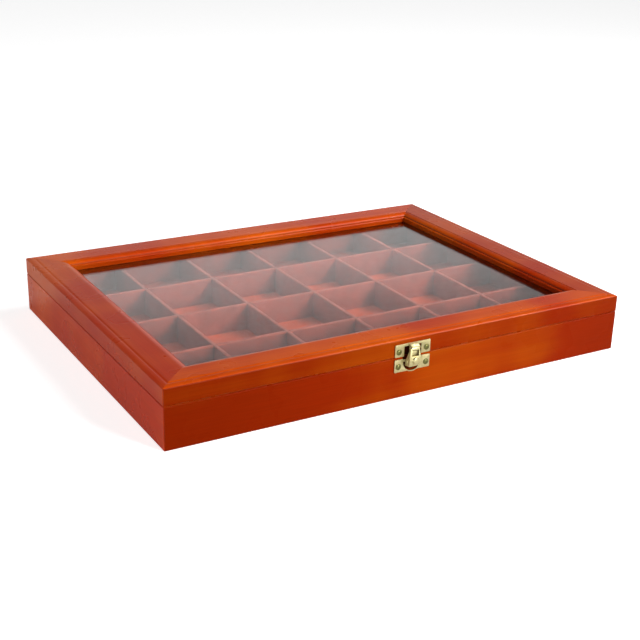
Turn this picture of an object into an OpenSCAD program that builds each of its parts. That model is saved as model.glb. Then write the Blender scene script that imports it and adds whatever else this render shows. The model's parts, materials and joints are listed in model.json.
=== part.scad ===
// Wooden display case for coins: a shallow box of twenty-four velvet-lined cells
// under a hinged lid with a glass pane, closed by a small brass press latch.
// The origin is the middle of the underside, +X runs right along the front,
// +Y to the back and +Z up. All sizes are in millimetres.

/* [Case] */
// Width of the case, left to right
case_w = 345; // [320:1:380]
// Depth of the case, front to back, without latch and hinges
case_d = 258; // [240:1:290]
// Height of the closed case
case_h = 41; // [40.5:0.1:44]
// Height of the middle of the seam between base and lid
seam_z = 28.4; // [28:0.1:29]
// Gap between base and lid when the case is closed
seam_gap = 0.3; // [0.2:0.05:0.4]
// Thickness of the four base walls
wall_t = 11; // [10:0.5:12]
// Thickness of the bottom panel
panel_t = 5; // [4:0.5:6]
// How far the bottom panel is let into the walls
panel_lap = 5; // [3:0.5:6]
// Radius of the upright corners
corner_r = 0.9; // [0.5:0.1:1.5]
// Depth of the bevel on the lower outer edge of the lid
lid_bevel = 0.5; // [0.3:0.1:1]
// Depth of the bevel on the upper outer edge of the base
base_bevel = 0.4; // [0.3:0.1:1]

/* [Lining] */
// Number of cells from left to right
columns = 6; // [6:1:6]
// Number of cells from front to back
rows = 4; // [4:1:4]
// Thickness of the velvet strips on the walls
liner_t = 1.5; // [1:0.1:2]
// Thickness of the velvet-covered dividers
divider_t = 3; // [2:0.1:4]
// Height of the divider tops above the ground
divider_top = 27.4; // [25:0.1:27.6]
// Thickness of the velvet floor on the bottom panel
floor_t = 3.5; // [2:0.1:4]

/* [Lid moulding] */
// Width of each lid rail, from its outer face to the glass opening
rail_w = 27; // [25:0.5:30]
// Width of the leg of each rail below the glass
leg_t = 12.5; // [12:0.1:13]
// Width of the rounded bead along the outer top edge
bead_w = 4.2; // [3.5:0.1:5]
// Height of the bead above the upright face
bead_h = 1.2; // [0.9:0.1:1.5]
// Drop of the bead and of the inner shoulder below the flat of the rail
quirk_d = 0.25; // [0.15:0.05:0.4]
// Distance of the inner edge of the flat from the outer face
quirk_u = 20.2; // [18:0.1:21]
// Height of the rounded inner shoulder
shoulder_h = 2.5; // [2:0.1:3]
// Width of the small ledge between the shoulder and the edge over the glass
ledge_w = 1.5; // [1:0.1:2]
// Depth of the glass below the top of the rails
glass_drop = 6.3; // [5.5:0.1:6.5]
// Thickness of the glass pane
glass_t = 2; // [1.8:0.1:2.2]

/* [Hinges] */
// Distance of each hinge from the middle of the case
hinge_x = 108; // [80:1:130]
// Length of each hinge
hinge_len = 18; // [16:1:22]
// Depth of each leaf, from the back face inwards
leaf_d = 8; // [7:0.5:9]
// Thickness of each leaf
leaf_t = 1; // [0.8:0.1:1.1]
// Radius of the knuckles
knuckle_r = 1.9; // [1.8:0.05:2]
// Radius of the hinge pins
pin_r = 0.8; // [0.7:0.05:0.9]

/* [Latch] */
// Offset of the latch from the middle of the front
latch_x = -1.5; // [-5:0.5:5]
// Half of the width of both latch plates
plate_hw = 13.4; // [13:0.1:14]
// Thickness of the latch plates
plate_t = 0.8; // [0.6:0.1:0.9]
// Thickness of the pressed lever
lever_t = 0.7; // [0.6:0.05:0.8]
// Distance of the latch screws from the middle of the latch
screw_x = 10.5; // [10.3:0.1:10.8]

/* [Hidden] */

$fn = 48;
wood = [0.68, 0.25, 0.09];
velvet = [0.66, 0.27, 0.24];
brass = [0.83, 0.76, 0.5];
glass = [0.8, 0.85, 0.84, 0.35];

base_top = seam_z - seam_gap / 2;
lid_bottom = seam_z + seam_gap / 2;
floor_top = panel_t + floor_t;
inset = wall_t + liner_t;
cell_x = (case_w - 2 * inset) / columns;
cell_y = (case_d - 2 * inset) / rows;
glass_top = case_h - glass_drop;
glass_bottom = glass_top - glass_t;
face_top = case_h - quirk_d - bead_h;
ledge_z = case_h - quirk_d - shoulder_h;
foot_bevel = 0.5;
groove_w = 2.6;
stop_gap = 0.45;
glass_play = 0.5;
liner_over = 0.2;
velvet_r = 0.9;

// Sides are numbered anticlockwise from the front, seen from above
FRONT = 0;
RIGHT = 1;
BACK = 2;
LEFT = 3;

// Points of an elliptic arc about c with radii r, from angle a0 to a1 in n steps
function arc(c, r, a0, a1, n) =
    [for (i = [0:n]) let (a = a0 + (a1 - a0) * i / n) [c[0] + r[0] * cos(a), c[1] + r[1] * sin(a)]];

// Section of a base wall: distance from the outer face, height
function wall_section() = [
    [foot_bevel, 0],
    [wall_t - panel_lap, 0],
    [wall_t - panel_lap, panel_t],
    [wall_t, panel_t],
    [wall_t, base_top],
    [base_bevel, base_top],
    [0, base_top - base_bevel],
    [0, foot_bevel]
];

// Section of a lid rail: leg, bead, groove, flat, rounded shoulder, ledge and the edge over the glass
function rail_section() = concat(
    [[leg_t, lid_bottom], [lid_bevel, lid_bottom], [0, lid_bottom + lid_bevel * 1.2]],
    arc([bead_w, face_top], [bead_w, bead_h], 180, 90, 8),
    [
        [bead_w + groove_w * 0.25, case_h - quirk_d - 0.12],
        [bead_w + groove_w * 0.5, case_h - quirk_d - 0.04],
        [bead_w + groove_w * 0.75, case_h - 0.06],
        [bead_w + groove_w, case_h],
        [quirk_u, case_h]
    ],
    arc([quirk_u + 0.2, ledge_z], [rail_w - ledge_w - quirk_u - 0.2, shoulder_h], 90, 0, 10),
    [[rail_w - 0.3, ledge_z - 0.15], [rail_w, ledge_z - 0.45], [rail_w, glass_top], [leg_t, glass_top]]
);

// Square with round corners, drawn with true arcs
module round_square(w, d, r) {
    square([w - 2 * r, d], center = true);
    square([w, d - 2 * r], center = true);
    for (x = [-1, 1], y = [-1, 1]) translate([x * (w / 2 - r), y * (d / 2 - r)]) circle(r);
}

// One mitred side of a frame: the section runs along the side and is cut at 45 degrees
module mitred_side(side, section, width) {
    run = side % 2 == 0 ? case_w : case_d;
    reach = side % 2 == 0 ? case_d / 2 : case_w / 2;
    rotate([0, 0, 90 * side])
        intersection() {
            translate([-run / 2, -reach, 0])
                rotate([90, 0, 90]) linear_extrude(run) polygon(section);
            translate([0, 0, -1])
                linear_extrude(case_h + 2) intersection() {
                    translate([0, -reach]) polygon([
                        [-run / 2, 0], [run / 2, 0], [run / 2 - width, width], [width - run / 2, width]
                    ]);
                    round_square(run, 2 * reach, corner_r);
                }
        }
}

// Straight strip along one side, between two distances from the outer face
module side_strip(side, from, to, half_run, z0, z1) {
    reach = side % 2 == 0 ? case_d / 2 : case_w / 2;
    rotate([0, 0, 90 * side])
        translate([-half_run, from - reach, z0])
            cube([2 * half_run, to - from, z1 - z0]);
}

// Base

module hinge_places() {
    for (side = [-1, 1]) translate([side * hinge_x, case_d / 2, 0]) children();
}

module latch_place() {
    translate([latch_x, -case_d / 2, 0]) children();
}

// Recess for a hinge leaf in the edge of the wood
module leaf_mortise(z0) {
    translate([-hinge_len / 2, -leaf_d, z0]) cube([hinge_len, leaf_d + 1, leaf_t]);
}

module wall(side) {
    color(wood) difference() {
        mitred_side(side, wall_section(), wall_t);
        if (side == BACK) hinge_places() {
            leaf_mortise(base_top - leaf_t);
            hinge_screw_holes(base_top, -1);
        }
        if (side == FRONT) latch_place() {
            plate_screw_holes(latch_screw_z);
            latch_pocket();
        }
    }
}

module bottom_panel() {
    lap = wall_t - panel_lap;
    color([0.5, 0.2, 0.09]) translate([lap - case_w / 2, lap - case_d / 2, 0])
        cube([case_w - 2 * lap, case_d - 2 * lap, panel_t]);
}

module floor_lining() {
    color([0.78, 0.32, 0.22]) translate([wall_t - case_w / 2, wall_t - case_d / 2, panel_t])
        cube([case_w - 2 * wall_t, case_d - 2 * wall_t, floor_t]);
}

module liner(side) {
    half_run = side % 2 == 0 ? case_w / 2 - wall_t : case_d / 2 - inset;
    color(velvet) side_strip(side, wall_t, inset, half_run, floor_top, divider_top + liner_over);
}

// Divider standing along X, its top edges rounded by the velvet
module divider_board(half_run) {
    top_y = divider_t / 2 - velvet_r;
    top_z = divider_top - velvet_r;
    translate([-half_run, 0, 0]) rotate([90, 0, 90]) linear_extrude(2 * half_run) polygon(concat(
        [[-divider_t / 2, floor_top], [divider_t / 2, floor_top]],
        arc([top_y, top_z], [velvet_r, velvet_r], 0, 90, 5),
        arc([-top_y, top_z], [velvet_r, velvet_r], 90, 180, 5)
    ));
}

lap_z = (floor_top + divider_top) / 2;

// Dividers are numbered from the front and from the left, and halved into each other
module long_divider(i) {
    half_run = case_w / 2 - inset;
    color(velvet) translate([0, i * cell_y - rows * cell_y / 2, 0]) difference() {
        divider_board(half_run);
        for (k = [1:columns - 1])
            translate([k * cell_x - half_run - divider_t / 2, -divider_t, lap_z])
                cube([divider_t, 2 * divider_t, divider_top]);
    }
}

module cross_divider(i) {
    half_run = case_d / 2 - inset;
    color(velvet) translate([i * cell_x - columns * cell_x / 2, 0, 0]) rotate([0, 0, 90]) difference() {
        divider_board(half_run);
        for (k = [1:rows - 1])
            translate([k * cell_y - half_run - divider_t / 2, -divider_t, 0])
                cube([divider_t, 2 * divider_t, lap_z]);
    }
}

// Lid

module rail(side) {
    color(wood) difference() {
        mitred_side(side, rail_section(), rail_w);
        if (side == BACK) hinge_places() {
            leaf_mortise(lid_bottom);
            hinge_screw_holes(lid_bottom, 1);
        }
        if (side == FRONT) latch_place() {
            plate_screw_holes(catch_screw_z);
            latch_pocket();
        }
    }
}

module glass_pane() {
    edge = leg_t + glass_play;
    color(glass) translate([edge - case_w / 2, edge - case_d / 2, glass_bottom])
        cube([case_w - 2 * edge, case_d - 2 * edge, glass_t]);
}

// Strip that holds the glass from below, as wide as the rail above it
module glass_stop(side) {
    half_run = side % 2 == 0 ? case_w / 2 - leg_t : case_d / 2 - rail_w;
    color([0.3, 0.1, 0.05]) side_strip(side, leg_t, rail_w, half_run, lid_bottom + stop_gap, glass_bottom);
}

// Hinges

pin_y = knuckle_r + 0.3;
knuckle_gap = 0.2;
middle_knuckle = hinge_len * 0.42;
bore_play = 0.05;
hinge_screw_r = 0.8;
hinge_screw_l = 7;
hinge_head_r = 1.6;
hinge_head_h = 0.8;

module at_pin() {
    translate([0, pin_y, seam_z]) rotate([0, 90, 0]) children();
}

module knuckle(x0, x1) {
    translate([x0, 0, 0]) at_pin() cylinder(r = knuckle_r, h = x1 - x0);
}

// Countersunk screws of one leaf, in direction way: -1 down, 1 up
module leaf_screws(z, way, length) {
    for (x = [-hinge_len * 0.3, hinge_len * 0.3])
        translate([x, -leaf_d / 2, z]) mirror([0, 0, way < 0 ? 1 : 0]) {
            cylinder(r1 = hinge_head_r, r2 = hinge_screw_r, h = hinge_head_h);
            cylinder(r = hinge_screw_r, h = length);
        }
}

module hinge_screw_holes(z, way) {
    leaf_screws(z, way, hinge_screw_l);
}

// Leaf with its knuckles: the base leaf has the two outer ones, the lid leaf the middle one
module hinge_leaf(z0, is_lid) {
    way = is_lid ? 1 : -1;
    half_middle = middle_knuckle / 2;
    spans = is_lid
        ? [[-half_middle, half_middle]]
        : [[-hinge_len / 2, -half_middle - knuckle_gap], [half_middle + knuckle_gap, hinge_len / 2]];
    difference() {
        union() {
            translate([-hinge_len / 2, -leaf_d, z0]) cube([hinge_len, leaf_d, leaf_t]);
            for (s = spans) {
                translate([s[0], -1, z0]) cube([s[1] - s[0], pin_y + 1, leaf_t]);
                knuckle(s[0], s[1]);
            }
        }
        translate([-hinge_len, 0, 0]) at_pin()
            cylinder(r = is_lid ? pin_r + bore_play : pin_r, h = 2 * hinge_len);
        leaf_screws(is_lid ? lid_bottom : base_top, way, hinge_screw_l);
    }
}

module hinge_base_leaf(side) {
    color(brass) translate([side * hinge_x, case_d / 2, 0]) hinge_leaf(base_top - leaf_t, false);
}

module hinge_lid_leaf(side) {
    color(brass) translate([side * hinge_x, case_d / 2, 0]) hinge_leaf(lid_bottom, true);
}

// Hinge pin with a thin head at each end
module hinge_pin(side) {
    head_t = 0.4;
    color(brass) translate([side * hinge_x, case_d / 2, 0]) {
        translate([-hinge_len / 2, 0, 0]) at_pin() cylinder(r = pin_r, h = hinge_len);
        for (x = [-hinge_len / 2 - head_t, hinge_len / 2])
            translate([x, 0, 0]) at_pin() cylinder(r = pin_r + 0.5, h = head_t);
    }
}

// The same screws with a slot across each head
module hinge_screws(z, way) {
    slot_w = 0.45;
    slot_d = 0.35;
    color(brass) hinge_places() difference() {
        leaf_screws(z, way, hinge_screw_l);
        for (x = [-hinge_len * 0.3, hinge_len * 0.3])
            translate([x, -leaf_d / 2, z]) rotate([0, 0, 35 + 4 * x])
                cube([3 * hinge_head_r, slot_w, 2 * slot_d], center = true);
    }
}

// Latch: places are given as distance out from the front face, and height

latch_screw_z = 22.2;
catch_screw_z = 32.4;
plate_low = 18.5;
plate_high = 27.2;
catch_low = 28.9;
catch_high = 37.4;
cradle_r = 7.1;
cradle_z = 25.3;
rim = 0.65;
pivot_out = 2.4;
pivot_z = 25.6;
pivot_r = 0.6;
plate_corner = 0.7;
plate_screw_r = 0.9;
plate_screw_l = 8;
screw_head_r = 2;
screw_head_h = 0.8;

// Flat sheet standing on the front face, drawn as x across and y up
module on_front(thickness) {
    rotate([90, 0, 0]) linear_extrude(thickness) children();
}

// Side view, drawn as x out from the front face and y up, made solid to half_w each way
module side_view(half_w) {
    translate([-half_w, 0, 0]) rotate([90, 0, 90]) linear_extrude(2 * half_w) mirror([1, 0]) children();
}

// Pocket in the wood behind the lever
module latch_pocket() {
    pocket_d = 2.2;
    translate([0, pocket_d, 0]) on_front(pocket_d + 1) union() {
        translate([0, cradle_z]) circle(cradle_r + 0.2);
        translate([-cradle_r, cradle_z]) square([2 * cradle_r, 36 - cradle_z]);
    }
}

module plate_screw_holes(z) {
    for (x = [-screw_x, screw_x])
        translate([x, -plate_t - 0.1, z]) rotate([-90, 0, 0]) cylinder(r = plate_screw_r, h = plate_screw_l);
}

// Round-headed screws with a crossed slot
module plate_screws(z) {
    slot_w = 0.5;
    slot_d = 0.35;
    color([0.55, 0.55, 0.32]) latch_place() for (x = [-screw_x, screw_x])
        translate([x, -plate_t, z]) rotate([-90, 0, 0]) difference() {
            union() {
                cylinder(r = plate_screw_r, h = plate_screw_l - 0.1);
                mirror([0, 0, 1]) rotate_extrude() polygon([
                    [0, 0], [screw_head_r, 0], [screw_head_r, 0.2], [screw_head_r - 0.4, screw_head_h - 0.25],
                    [screw_head_r - 1, screw_head_h - 0.05], [0, screw_head_h]
                ]);
            }
            for (turn = [20, 110]) rotate([0, 0, turn])
                translate([-screw_head_r * 0.6, -slot_w / 2, -screw_head_h - 1])
                    cube([screw_head_r * 1.2, slot_w, slot_d + 1]);
        }
}

// Upright plate outline between two heights
module plate_outline(z0, z1) {
    translate([0, (z0 + z1) / 2]) round_square(2 * plate_hw, z1 - z0, plate_corner);
}

// Lower plate: a round-bottomed cradle for the lever, and two lugs for its pin
module latch_plate() {
    lug_x = 3;
    lug_t = 0.7;
    bar_t = 0.6;
    color(brass) latch_place() difference() {
        union() {
            on_front(plate_t) difference() {
                union() {
                    plate_outline(plate_low, plate_high);
                    translate([0, cradle_z]) circle(cradle_r + rim);
                }
                translate([0, cradle_z]) circle(cradle_r);
                translate([-cradle_r, cradle_z]) square([2 * cradle_r, plate_high]);
                translate([-plate_hw, plate_high]) square([2 * plate_hw, plate_high]);
            }
            translate([-cradle_r - 0.5, -bar_t, pivot_z - 0.6]) cube([2 * cradle_r + 1, bar_t, 1.4]);
            for (x = [-lug_x - lug_t, lug_x])
                translate([x, -pivot_out - 0.9, pivot_z - 1.1]) cube([lug_t, pivot_out + 0.9, 2.2]);
        }
        plate_screw_holes(latch_screw_z);
        translate([-plate_hw, -pivot_out, pivot_z]) rotate([0, 90, 0])
            cylinder(r = pivot_r, h = 2 * plate_hw);
    }
}

// Upper plate: two ears below a bar, the rolled tongue, and the hook inside the lever
module catch_plate() {
    gap_hw = 6.5;
    bar_low = 35.75;
    tongue_hw = 3.2;
    hook_hw = 2.6;
    color(brass) latch_place() {
        difference() {
            on_front(plate_t) difference() {
                plate_outline(catch_low, catch_high);
                translate([-gap_hw, catch_low - 1]) square([2 * gap_hw, bar_low - catch_low + 1]);
            }
            plate_screw_holes(catch_screw_z);
        }
        side_view(tongue_hw) polygon([
            [0.1, 37.3], [0.9, 37.3], [1.7, 37.1], [3, 36.5], [4.2, 35.7], [4.7, 34.9], [4, 34.7],
            [3.6, 35.3], [2.6, 35.8], [1.4, 36.4], [0.1, 36.4]
        ]);
        side_view(hook_hw) polygon([
            [0.1, 36.4], [0.1, 29], [2.5, 29], [2.9, 29.4], [2.9, 32.3], [2.2, 32.3], [2.2, 29.8],
            [0.8, 29.8], [0.8, 36.4]
        ]);
    }
}

lever_low = 22.8;
lever_high = 34.3;
lever_low_hw = 5;
lever_low_out = 4.9;
lever_high_out = 3.8;
lever_back_out = 1.2;

// Cuts the tapered sides of the lever, which lean outwards to the back, moved in by skin
module between_lever_sides(skin) {
    taper = 10;
    lean = 14.4;
    difference() {
        children();
        for (side = [-1, 1])
            translate([side * (lever_low_hw - skin), -lever_low_out, lever_low])
                rotate([0, -side * taper, -side * lean])
                    translate([side < 0 ? -20 : 0, -20, -20]) cube([20, 40, 40]);
    }
}

// Pressed lever: tapered front with a window and a round boss, and two flanges that end in points
module latch_lever() {
    window_hw = 2.6;
    window_low = 29.1;
    window_high = 33.2;
    boss_z = 26.1;
    boss_r = 2.5;
    boss_h = 1.1;
    slope = (lever_low_out - lever_high_out) / (lever_high - lever_low);
    boss_out = lever_low_out - slope * (boss_z - lever_low);
    color(brass) latch_place() difference() {
        union() {
            difference() {
                between_lever_sides(0) side_view(plate_hw) polygon([
                    [lever_back_out, lever_low], [lever_low_out, lever_low], [lever_high_out, lever_high],
                    [lever_high_out - 0.9, lever_high], [lever_back_out, pivot_z + 1.4]
                ]);
                between_lever_sides(lever_t) side_view(plate_hw) polygon([
                    [0, lever_low - 1], [lever_low_out - lever_t, lever_low - 1],
                    [lever_high_out - lever_t, lever_high + 1], [0, lever_high + 1]
                ]);
            }
            translate([0, -boss_out, boss_z]) rotate([90 - atan(slope), 0, 0]) rotate_extrude() polygon(concat(
                [[0, -lever_t / 2], [boss_r, -lever_t / 2], [boss_r, 0]],
                arc([boss_r - boss_h, 0], [boss_h, boss_h], 0, 90, 4),
                [[0, boss_h]]
            ));
        }
        translate([-window_hw, -2 * lever_low_out, window_low])
            cube([2 * window_hw, 2 * lever_low_out, window_high - window_low]);
        translate([-plate_hw, -pivot_out, pivot_z]) rotate([0, 90, 0])
            cylinder(r = pivot_r + bore_play, h = 2 * plate_hw);
    }
}

module latch_pin() {
    pin_hw = 5.6;
    color(brass) latch_place() translate([-pin_hw, -pivot_out, pivot_z])
        rotate([0, 90, 0]) cylinder(r = pivot_r, h = 2 * pin_hw);
}

// Leaf spring that pushes the lower end of the lever out, drawn pressed
module latch_spring() {
    color([0.7, 0.7, 0.72]) latch_place() side_view(1.9) polygon([
        [0.62, 26.4], [0.62, 24.6], [1.2, 23.7], [2.9, 23.3], [3, 23.55], [1.4, 23.95],
        [0.92, 24.75], [0.92, 26.4]
    ]);
}

wall(FRONT);  // front_wall
wall(BACK);  // back_wall
wall(LEFT);  // left_wall
wall(RIGHT);  // right_wall
bottom_panel();
floor_lining();
liner(FRONT);  // front_liner
liner(BACK);  // back_liner
liner(LEFT);  // left_liner
liner(RIGHT);  // right_liner
long_divider(1);  // long_divider_1
long_divider(2);  // long_divider_2
long_divider(3);  // long_divider_3
cross_divider(1);  // cross_divider_1
cross_divider(2);  // cross_divider_2
cross_divider(3);  // cross_divider_3
cross_divider(4);  // cross_divider_4
cross_divider(5);  // cross_divider_5
rail(FRONT);  // front_rail
rail(BACK);  // back_rail
rail(LEFT);  // left_rail
rail(RIGHT);  // right_rail
glass_pane();
glass_stop(FRONT);  // front_glass_stop
glass_stop(BACK);  // back_glass_stop
glass_stop(LEFT);  // left_glass_stop
glass_stop(RIGHT);  // right_glass_stop
hinge_base_leaf(-1);  // hinge_base_leaf_left
hinge_base_leaf(1);  // hinge_base_leaf_right
hinge_lid_leaf(-1);  // hinge_lid_leaf_left
hinge_lid_leaf(1);  // hinge_lid_leaf_right
hinge_pin(-1);  // hinge_pin_left
hinge_pin(1);  // hinge_pin_right
hinge_screws(base_top, -1);  // hinge_base_screws
hinge_screws(lid_bottom, 1);  // hinge_lid_screws
latch_plate();
plate_screws(latch_screw_z);  // latch_plate_screws
latch_pin();
latch_spring();
latch_lever();
catch_plate();
plate_screws(catch_screw_z);  // catch_plate_screws
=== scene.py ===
"""The looks of a coin display case: lacquered wood, velvet cells, a glass lid and a brass press latch."""

import json
import math

import bmesh
import bpy
from mathutils import Matrix, Vector


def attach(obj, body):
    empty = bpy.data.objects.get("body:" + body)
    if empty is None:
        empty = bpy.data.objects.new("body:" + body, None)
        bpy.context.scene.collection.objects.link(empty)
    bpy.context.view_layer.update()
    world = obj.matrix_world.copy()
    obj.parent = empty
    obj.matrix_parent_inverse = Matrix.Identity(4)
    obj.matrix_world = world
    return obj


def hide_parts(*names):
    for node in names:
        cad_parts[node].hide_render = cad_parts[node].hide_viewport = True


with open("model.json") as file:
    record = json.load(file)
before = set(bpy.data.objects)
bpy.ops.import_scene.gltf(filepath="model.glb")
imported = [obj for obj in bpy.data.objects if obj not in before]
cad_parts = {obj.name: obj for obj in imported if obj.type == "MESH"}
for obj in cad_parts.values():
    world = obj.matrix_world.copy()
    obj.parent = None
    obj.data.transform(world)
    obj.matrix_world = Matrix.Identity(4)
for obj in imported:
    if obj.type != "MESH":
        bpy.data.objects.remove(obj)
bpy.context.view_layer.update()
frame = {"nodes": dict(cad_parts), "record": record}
nodes = frame["nodes"]
MM = 0.001

# Camera

CAMERA_PLACE = Vector((-407.5, -701.5, 326.5)) * MM
CAMERA_AZIMUTH = math.radians(30.504)
CAMERA_DROP = math.radians(21.526)
CAMERA_ROLL = math.radians(1.536)
CAMERA_LENS = 66.98


def make_camera():
    data = bpy.data.cameras.new("camera")
    data.sensor_fit = "HORIZONTAL"
    data.sensor_width = 36.0
    data.lens = CAMERA_LENS
    data.clip_start = 0.01
    camera = bpy.data.objects.new("camera", data)
    bpy.context.scene.collection.objects.link(camera)
    turn = Matrix.Rotation(-CAMERA_AZIMUTH, 4, "Z") @ Matrix.Rotation(math.pi / 2 - CAMERA_DROP, 4, "X")
    camera.matrix_world = Matrix.Translation(CAMERA_PLACE) @ turn @ Matrix.Rotation(CAMERA_ROLL, 4, "Z")
    bpy.context.scene.camera = camera


# Node trees


class Tree:
    """A material's or world's node tree, with one short call per node."""

    def __init__(self, owner):
        owner.use_nodes = True
        self.tree = owner.node_tree
        self.tree.nodes.clear()

    def add(self, kind, settings=None, **inputs):
        """A new node, fed with numbers, colours or other nodes' outputs. Input names have _ for a space."""
        node = self.tree.nodes.new(kind)
        for name, value in (settings or {}).items():
            setattr(node, name, value)
        for name, value in inputs.items():
            self.feed(node.inputs[name.replace("_", " ")], value)
        return node

    def feed(self, socket, value):
        if isinstance(value, bpy.types.NodeSocket):
            self.tree.links.new(value, socket)
        elif isinstance(value, (tuple, list)) and len(value) == 3 and socket.type == "RGBA":
            socket.default_value = (*value, 1.0)
        else:
            socket.default_value = value

    def math(self, operation, a, b=0.0):
        node = self.add("ShaderNodeMath", {"operation": operation})
        self.feed(node.inputs[0], a)
        self.feed(node.inputs[1], b)
        return node.outputs[0]

    def times(self, first, *others):
        for other in others:
            first = self.math("MULTIPLY", first, other)
        return first

    def left_by(self, mask, share):
        """A factor that takes this share away where the mask is 1."""
        return self.math("SUBTRACT", 1.0, self.math("MULTIPLY", mask, share))

    def dot(self, vector, direction):
        node = self.add("ShaderNodeVectorMath", {"operation": "DOT_PRODUCT"})
        self.feed(node.inputs[0], vector)
        self.feed(node.inputs[1], direction)
        return node.outputs["Value"]

    def part(self, vector, axis):
        """The X, Y or Z of a vector."""
        return self.add("ShaderNodeSeparateXYZ", Vector=vector).outputs[axis]

    def mix(self, share, a, b, blend="MIX"):
        node = self.add("ShaderNodeMix", {"data_type": "RGBA", "blend_type": blend})
        self.feed(node.inputs[0], share)
        self.feed(node.inputs[6], a)
        self.feed(node.inputs[7], b)
        return node.outputs[2]

    def shaded(self, colour, level):
        """The colour made darker or brighter by a level."""
        grey = self.add("ShaderNodeCombineColor", Red=level, Green=level, Blue=level).outputs[0]
        return self.mix(1.0, colour, grey, "MULTIPLY")

    def ramp(self, value, low, high, to_low=0.0, to_high=1.0):
        node = self.add("ShaderNodeMapRange", {"interpolation_type": "SMOOTHSTEP"})
        for socket, v in zip(node.inputs, (value, low, high, to_low, to_high)):
            self.feed(socket, v)
        return node.outputs[0]

    def noise(self, per_metre, shift=(0.0, 0.0, 0.0), detail=3.0):
        """Noise with so many waves per metre along X, Y and Z of the object."""
        place = self.add("ShaderNodeTexCoord").outputs["Object"]
        spread = self.add("ShaderNodeMapping", Vector=place, Location=shift, Scale=per_metre)
        noise = self.add("ShaderNodeTexNoise", Vector=spread.outputs[0], Scale=1.0, Detail=detail)
        return noise.outputs["Fac"]

    def bump(self, height, distance, strength=1.0):
        return self.add("ShaderNodeBump", Height=height, Distance=distance, Strength=strength).outputs[0]

    def finish(self, surface, kind="ShaderNodeOutputMaterial"):
        self.tree.links.new(surface, self.add(kind).inputs["Surface"])


def new_material(name):
    material = bpy.data.materials.new(name)
    return material, Tree(material)


# Wood

WOOD_RED = (0.43, 0.026, 0.001)
WOOD_ORANGE = (0.62, 0.095, 0.002)
PATCH_LEAN = 0.6
STREAK_LEAN = 0.25
# Painted shade: on faces that look inward, in pockets cut in the outward faces, and towards each end of
# those.
INNER_PAINTED_SHADE = 0.53
POCKET_AT = 128.2 * MM
POCKET_SHADE = 0.85
END_SHADE_MIDDLE = 35.0 * MM
END_SHADE_REACH = 210.0 * MM
END_SHADE = 0.5
LACQUER_IOR = 1.3
LACQUER_GLOSS = 0.5
RED_GLOSS = 0.12
GLOSS_TINT = (1.0, 0.8, 0.7)
RED_GLOSS_TINT = (1.0, 0.3, 0.03)
FIBRE_HEIGHT = 0.02 * MM
FRONT = (0.0, -1.0, 0.0)
BACK = (0.0, 1.0, 0.0)
LEFT = (-1.0, 0.0, 0.0)
RIGHT = (1.0, 0.0, 0.0)


def along(axis, on_axis, across):
    """Waves per metre, fewer along the grain than across it."""
    return tuple(on_axis if k == axis else across for k in range(3))


def wood_stain(t, axis, place, orange, painted_end_shade):
    """The stain, red to orange in patches and streaks along the grain, redder by the painted end shade."""
    patches = t.ramp(t.noise(along(axis, 13.0, 5.0), place, 2.0), 0.33, 0.67)
    streaks = t.ramp(t.noise(along(axis, 5.0, 85.0), place, 3.0), 0.3, 0.7)
    lean = t.math("ADD", t.times(patches, PATCH_LEAN), orange - PATCH_LEAN / 2)
    lean = t.math("ADD", lean, t.times(t.math("SUBTRACT", streaks, 0.5), STREAK_LEAN))
    lean = t.math("SUBTRACT", lean, painted_end_shade)
    return t.mix(t.ramp(lean, 0.0, 1.0), WOOD_RED, WOOD_ORANGE)


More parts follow.
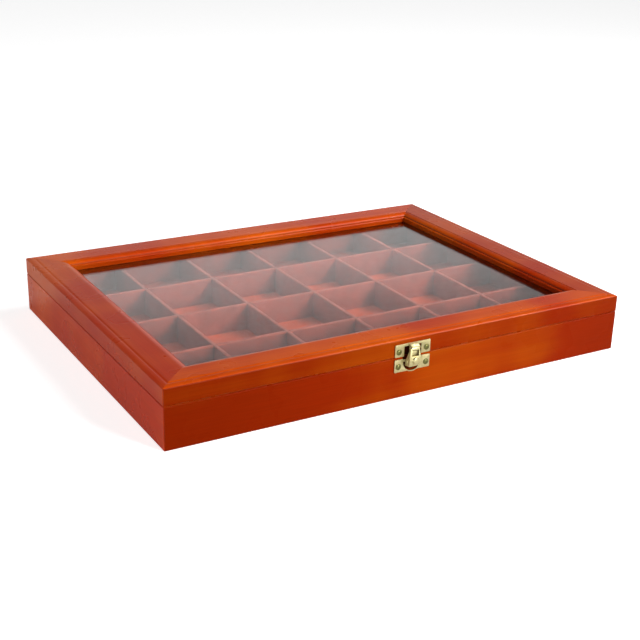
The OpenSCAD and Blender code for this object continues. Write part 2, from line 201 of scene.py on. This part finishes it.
def wood(name, axis, shift, orange, tone_and_painted_light=1.0, outward=FRONT, painted_side_shade=1.0, painted_end_dimming=0.0):
    """
    Red-brown lacquered wood. The grain runs along axis, and orange is how far the piece leans to orange.
    tone_and_painted_light scales its brightness: partly the piece's own tone, partly painted light and
    shade.
    painted_side_shade scales that of the faces that look outward, as painted shade on those sides. Faces
    that look inward are darker by painted shade, and so are pockets cut in the outward ones.
    painted_end_dimming is how much redder and darker the outward faces grow towards each end than in their
    middle: painted fall-off.
    """
    material, t = new_material(name)
    place = (shift, shift * 0.7, shift * 1.3)
    coordinates = t.add("ShaderNodeTexCoord").outputs
    facing = t.dot(coordinates["Normal"], outward)
    inward = t.times(facing, -1.0)
    to_front = t.times(t.part(coordinates["Normal"], "Y"), -1.0)

    side = t.ramp(facing, 0.4, 0.85)
    # Faces that look inward are darkened: painted shade.
    inward_painted_shade = t.ramp(inward, 0.5, 0.9, 1.0, INNER_PAINTED_SHADE)
    reddened = t.ramp(t.math("MAXIMUM", to_front, inward), 0.9, 0.99)
    out = t.dot(coordinates["Object"], outward)
    # Pockets cut in the outward faces are darkened: painted shade in the recess.
    pocket_painted_shade = t.times(side, t.ramp(out, POCKET_AT - MM, POCKET_AT, 1.0, 0.0))
    # The outward faces darken and redden towards each end: a painted fall-off of the light.
    off_middle = t.math("ABSOLUTE", t.math("SUBTRACT", t.part(coordinates["Object"], "X"), END_SHADE_MIDDLE))
    painted_end_shade = t.times(side, t.ramp(off_middle, 0.0, END_SHADE_REACH, 0.0, painted_end_dimming))

    fibres = t.noise(along(axis, 30.0, 1100.0), place, 2.0)
    level = t.times(
        inward_painted_shade,
        # The level of the faces that look outward: painted shade on those sides.
        t.ramp(side, 0.0, 1.0, tone_and_painted_light, tone_and_painted_light * painted_side_shade),
        t.left_by(painted_end_shade, END_SHADE),
        t.left_by(pocket_painted_shade, POCKET_SHADE),
        t.ramp(fibres, 0.3, 0.7, 0.95, 1.04),
    )
    shader = t.add(
        "ShaderNodeBsdfPrincipled",
        Base_Color=t.shaded(wood_stain(t, axis, place, orange, painted_end_shade), level),
        Roughness=t.ramp(t.noise((40.0, 40.0, 40.0), place, 2.0), 0.3, 0.7, 0.26, 0.31),
        IOR=LACQUER_IOR,
        Specular_IOR_Level=t.ramp(reddened, 0.0, 1.0, LACQUER_GLOSS, RED_GLOSS),
        Specular_Tint=t.mix(reddened, GLOSS_TINT, RED_GLOSS_TINT),
        Normal=t.bump(fibres, FIBRE_HEIGHT, 0.1),
    )
    t.finish(shader.outputs[0])
    return material


# Velvet

VELVET = (0.305, 0.056, 0.035)
VELVET_FLOOR = (0.5, 0.066, 0.02)
PILE_HEIGHT = 0.3 * MM


def velvet(name, colour, sheen_colour, sheen):
    """Short-piled velvet: a mottled nap, a fine pile and a pale sheen at grazing angles."""
    material, t = new_material(name)
    nap = t.ramp(t.noise((90.0, 90.0, 90.0), detail=3.0), 0.35, 0.65, 0.86, 1.1)
    pile = t.noise((2600.0, 2600.0, 2600.0), detail=2.0)
    speckle = t.ramp(pile, 0.35, 0.65, 0.86, 1.12)
    shader = t.add(
        "ShaderNodeBsdfPrincipled",
        Base_Color=t.shaded(colour, t.times(nap, speckle)),
        Roughness=0.95,
        Specular_IOR_Level=0.15,
        Sheen_Weight=sheen,
        Sheen_Roughness=0.35,
        Sheen_Tint=(*sheen_colour, 1.0),
        Normal=t.bump(pile, PILE_HEIGHT, 0.6),
    )
    t.finish(shader.outputs[0])
    return material


# Glass

GLASS_TINT = (0.97, 0.985, 0.98)
LIGHT_LET_THROUGH = (0.85, 0.87, 0.86)


def pane_glass(name):
    """Clear flat glass that mirrors and bends what is seen, and lets the lamps' light straight through."""
    material, t = new_material(name)
    glass = t.add("ShaderNodeBsdfGlass", Color=GLASS_TINT, Roughness=0.0, IOR=1.5)
    clear = t.add("ShaderNodeBsdfTransparent", Color=LIGHT_LET_THROUGH)
    both = t.add("ShaderNodeMixShader")
    t.feed(both.inputs[0], t.add("ShaderNodeLightPath").outputs["Is Shadow Ray"])
    t.feed(both.inputs[1], glass.outputs[0])
    t.feed(both.inputs[2], clear.outputs[0])
    t.finish(both.outputs[0])
    return material


# Metal

STAIN_SHADE = 0.72
BRUSHING_HEIGHT = 0.01 * MM


def metal(name, colour, roughness, stain=0.12):
    """Plated metal with faint stains and fine brushing."""
    material, t = new_material(name)
    spots = t.ramp(t.noise((700.0, 700.0, 700.0), detail=3.0), 0.35, 0.7)
    brushing = t.noise((3000.0, 3000.0, 400.0), detail=2.0)
    dull = tuple(c * STAIN_SHADE for c in colour)
    shader = t.add(
        "ShaderNodeBsdfPrincipled",
        Base_Color=t.mix(t.times(spots, stain * 4), colour, dull),
        Metallic=1.0,
        Roughness=t.ramp(spots, 0.0, 1.0, roughness, roughness + stain),
        Normal=t.bump(brushing, BRUSHING_HEIGHT, 0.25),
    )
    t.finish(shader.outputs[0])
    return material


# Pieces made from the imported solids

LARGE_FACE = 500.0 * MM * MM


def body_of(node):
    bodies = frame["record"]["behaviour"]["bodies"]
    return next(body for body, names in bodies.items() if node in names)


def paint(thing, material):
    thing.data.materials.clear()
    thing.data.materials.append(material)


def smooth(mesh, degrees=35.0):
    """Smooth shading over curved bands. The edges of large faces stay sharp, so that those look flat."""
    for face in mesh.polygons:
        face.use_smooth = True
    mesh.set_sharp_from_angle(angle=math.radians(degrees))
    for face in mesh.polygons:
        if face.area > LARGE_FACE:
            for loop in face.loop_indices:
                mesh.edges[mesh.loops[loop].edge_index].use_edge_sharp = True


def place_piece(mesh, name, material, *stands_for):
    """Shows a mesh in place of CAD nodes, on the body of the first of them."""
    piece = bpy.data.objects.new(name, mesh)
    bpy.context.scene.collection.objects.link(piece)
    paint(piece, material)
    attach(piece, body_of(stands_for[0]))
    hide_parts(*stands_for)
    return piece


def eased(node, name, material, width, steps=2, sharp=30.0):
    """A copy of a CAD node with its sharp edges rounded."""
    shape = bmesh.new()
    shape.from_mesh(nodes[node].data)
    bmesh.ops.remove_doubles(shape, verts=shape.verts, dist=0.001 * MM)
    bmesh.ops.dissolve_limit(
        shape,
        angle_limit=math.radians(0.5),
        verts=shape.verts,
        edges=shape.edges,
        use_dissolve_boundaries=False,
    )
    edges = [e for e in shape.edges if e.is_manifold and e.calc_face_angle(0.0) > math.radians(sharp)]
    bmesh.ops.bevel(
        shape,
        geom=edges,
        offset=width,
        offset_type="OFFSET",
        segments=steps,
        profile=0.5,
        affect="EDGES",
        clamp_overlap=True,
    )
    mesh = bpy.data.meshes.new(name)
    shape.to_mesh(mesh)
    shape.free()
    smooth(mesh)
    return place_piece(mesh, name, material, node)


# Wooden parts: node, grain axis, orange, tone_and_painted_light, outward, painted_side_shade,
# painted_end_dimming

# The brightness numbers carry painted light and shade besides each piece's own tone.
WOODEN_PARTS = [
    ("front_wall", 0, 0.33, 1.0, FRONT, 0.62, 0.5),
    ("back_wall", 0, 0.45, 0.8, BACK, 1.0, 0.0),
    ("left_wall", 1, 0.3, 1.1, LEFT, 1.0, 0.0),
    ("right_wall", 1, 0.4, 0.9, RIGHT, 0.8, 0.0),
    ("front_rail", 0, 0.42, 1.15, FRONT, 0.49, 0.3),
    ("back_rail", 0, 0.5, 1.28, BACK, 0.75, 0.0),
    ("left_rail", 1, 0.4, 1.1, LEFT, 0.85, 0.0),
    ("right_rail", 1, 0.42, 0.92, RIGHT, 0.8, 0.0),
    # The glass stops are nearly black: painted shade under the rails.
    ("front_glass_stop", 0, 0.1, 0.15, FRONT, 1.0, 0.0),
    ("back_glass_stop", 0, 0.1, 0.15, BACK, 1.0, 0.0),
    ("left_glass_stop", 1, 0.1, 0.15, LEFT, 1.0, 0.0),
    ("right_glass_stop", 1, 0.1, 0.15, RIGHT, 1.0, 0.0),
]
GRAIN_SHIFT = 1.7
PANEL_GRAIN_SHIFT = 31.0

for number, (node, axis, *looks) in enumerate(WOODEN_PARTS):
    paint(nodes[node], wood(f"wood_{node}", axis, GRAIN_SHIFT * number, *looks))
    smooth(nodes[node].data)

paint(nodes["bottom_panel"], wood("wood_bottom_panel", 0, PANEL_GRAIN_SHIFT, 0.35))

# Velvet parts

velvet_board = velvet("velvet_board", VELVET, (1.0, 0.72, 0.7), 0.24)
velvet_floor = velvet("velvet_floor", VELVET_FLOOR, (1.0, 0.6, 0.5), 0.16)
for node in nodes:
    if node.endswith("_liner") or "_divider_" in node:
        paint(nodes[node], velvet_board)
        smooth(nodes[node].data)
paint(nodes["floor_lining"], velvet_floor)

# Glass and metal parts

paint(nodes["glass_pane"], pane_glass("pane_glass"))

latch_brass = metal("latch_brass", (0.58, 0.51, 0.26), 0.36)
# The screw heads get the brass darkened: painted shade.
screw_brass = metal("screw_brass", (0.21, 0.2, 0.07), 0.32)
hinge_brass = metal("hinge_brass", (0.8, 0.66, 0.36), 0.25)
spring_steel = metal("spring_steel", (0.62, 0.62, 0.63), 0.25)

for node in nodes:
    if node.startswith("hinge_"):
        paint(nodes[node], hinge_brass)
        smooth(nodes[node].data)
for node, width in (("latch_plate", 0.1), ("latch_lever", 0.15), ("catch_plate", 0.1)):
    eased(node, f"{node}_eased", latch_brass, width * MM)
paint(nodes["latch_pin"], latch_brass)
smooth(nodes["latch_pin"].data)
paint(nodes["latch_spring"], spring_steel)
for node in ("latch_plate_screws", "catch_plate_screws"):
    paint(nodes[node], screw_brass)
    smooth(nodes[node].data)

# Floor, world and lamps

MIDDLE = Vector((0.0, 0.0, 20.0)) * MM
WHITE = (1.0, 1.0, 1.0)
FLOOR_COLOUR = (0.8, 0.8, 0.8)
FLOOR_SIZE = 40.0
FLOOR_GAP = 0.2 * MM
LAMP_DISTANCE = 1.4
ROOM_SHAPE = 0.2
BACKDROP_LOW = 1.0
BACKDROP_HIGH = 0.6
BACKDROP_EDGE = 0.37
CEILING_EDGE = 0.46
CEILING_LIGHT = 0.03
FRONT_LIGHT = 0.1
FRONT_EDGE = 0.4
LEAST_SQUARES = 0.0001
FLOOR_GLOW = 0.78
FLOOR_GLOW_IN_GLOSS = 0.12


def make_floor():
    """A plain pale floor. What the camera sees of it turns white, except for the object's shadow."""
    bpy.ops.mesh.primitive_plane_add(size=FLOOR_SIZE, location=(0.0, 0.0, -FLOOR_GAP))
    floor = bpy.context.object
    floor.name = "floor"
    material, t = new_material("floor")
    plain = t.add("ShaderNodeBsdfDiffuse", Color=FLOOR_COLOUR)
    glow = t.add("ShaderNodeEmission", Color=WHITE)
    rays = t.add("ShaderNodeLightPath").outputs
    seen = t.times(t.math("MAXIMUM", rays["Is Camera Ray"], rays["Is Transmission Ray"]), FLOOR_GLOW)
    mirrored = t.times(rays["Is Glossy Ray"], FLOOR_GLOW_IN_GLOSS)
    t.feed(glow.inputs["Strength"], t.math("MAXIMUM", seen, mirrored))
    both = t.add("ShaderNodeAddShader")
    t.feed(both.inputs[0], plain.outputs[0])
    t.feed(both.inputs[1], glow.outputs[0])
    t.finish(both.outputs[0])
    paint(floor, material)


def make_world():
    """
    A pale backdrop behind the case, under a dark ceiling, and dim light in front of it. What the camera
    sees of the world, straight or through the glass, is plain white.
    """
    world = bpy.data.worlds.new("studio")
    bpy.context.scene.world = world
    t = Tree(world)
    direction = t.add("ShaderNodeTexCoord").outputs["Generated"]
    x, y, z = t.add("ShaderNodeSeparateXYZ", Vector=direction).outputs
    squares = t.math("ADD", t.times(y, y), t.times(x, x, ROOM_SHAPE))
    rise = t.math("DIVIDE", z, t.math("SQRT", t.math("MAXIMUM", squares, LEAST_SQUARES)))
    backdrop = t.ramp(rise, 0.0, BACKDROP_EDGE, BACKDROP_LOW, BACKDROP_HIGH)
    ceiling = t.ramp(rise, BACKDROP_EDGE, CEILING_EDGE, 1.0, CEILING_LIGHT / BACKDROP_HIGH)
    behind = t.times(backdrop, ceiling)
    in_front = t.ramp(t.times(y, -1.0), 0.0, FRONT_EDGE)
    before = t.times(in_front, t.math("SUBTRACT", FRONT_LIGHT, behind))
    graded = t.math("ADD", behind, t.math("MAXIMUM", before, 0.0))
    rays = t.add("ShaderNodeLightPath").outputs
    seen = t.math("MAXIMUM", rays["Is Camera Ray"], rays["Is Transmission Ray"])
    both = t.add("ShaderNodeMixShader")
    t.feed(both.inputs[0], seen)
    t.feed(both.inputs[1], t.add("ShaderNodeBackground", Color=WHITE, Strength=graded).outputs[0])
    t.feed(both.inputs[2], t.add("ShaderNodeBackground", Color=WHITE, Strength=1.0).outputs[0])
    t.finish(both.outputs[0], "ShaderNodeOutputWorld")


def make_softbox(name, azimuth, elevation, size, watts):
    """A square lamp aimed at the case. Azimuth, in degrees, is 0 in front of it and grows to the right."""
    a, e = math.radians(azimuth), math.radians(elevation)
    direction = Vector((math.sin(a) * math.cos(e), -math.cos(a) * math.cos(e), math.sin(e)))
    data = bpy.data.lights.new(name, "AREA")
    data.shape = "SQUARE"
    data.size = size
    data.energy = watts
    lamp = bpy.data.objects.new(name, data)
    bpy.context.scene.collection.objects.link(lamp)
    lamp.location = MIDDLE + direction * LAMP_DISTANCE
    lamp.rotation_euler = direction.to_track_quat("Z", "Y").to_euler()


make_camera()
make_floor()
make_world()
make_softbox("key_softbox", 19.0, 19.5, 0.28, 15.5)
make_softbox("top_softbox", 75.0, 54.0, 0.6, 11.0)
make_softbox("left_softbox", -85.0, 6.5, 0.28, 6.0)
bpy.context.scene.view_settings.view_transform = "Standard"
